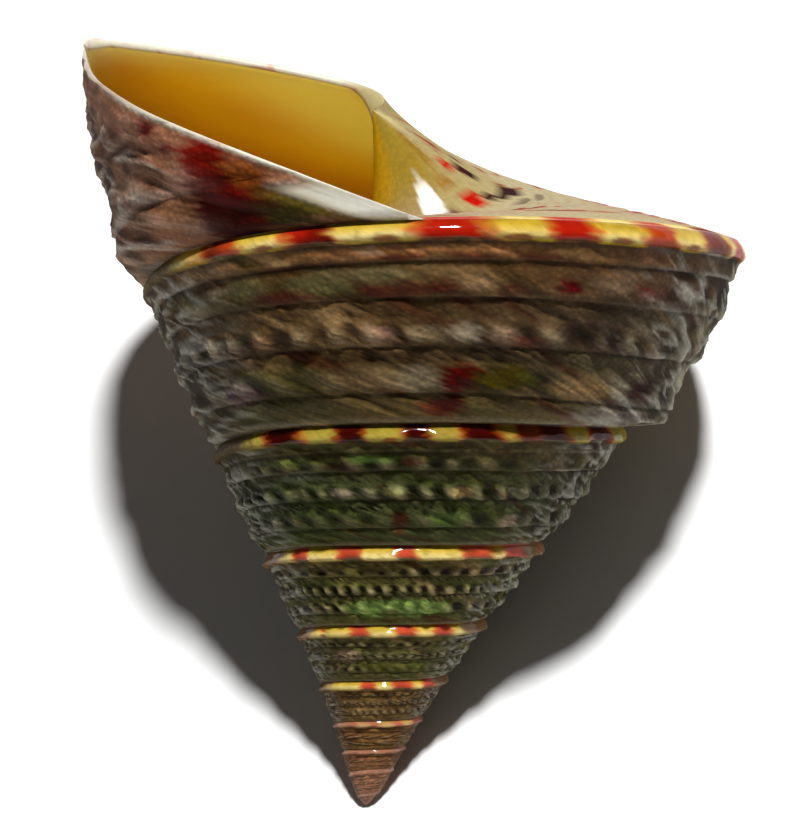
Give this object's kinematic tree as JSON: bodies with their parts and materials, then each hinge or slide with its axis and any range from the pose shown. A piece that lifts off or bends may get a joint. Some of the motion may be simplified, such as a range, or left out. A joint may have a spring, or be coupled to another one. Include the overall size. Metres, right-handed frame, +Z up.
{
  "type": "conical top shell",
  "caption": "Conical spiral sea shell lying on its side, with a beaded keel along each turn, an open slanting mouth and a hollow last turn.",
  "frame": {"origin": "on the surface that the shell lies on, under the middle of its box", "axes": "+Z up from the surface; the apex points to -Y and the mouth end to +Y; +X to the right seen from the apex"},
  "size_m": [0.0364, 0.039, 0.0289],
  "materials": {
    "shell": "satin, glossy on the keels and inside the mouth"
  },
  "bodies": {
    "root": {"top_shell": "shell"}
  },
  "joints": []
}
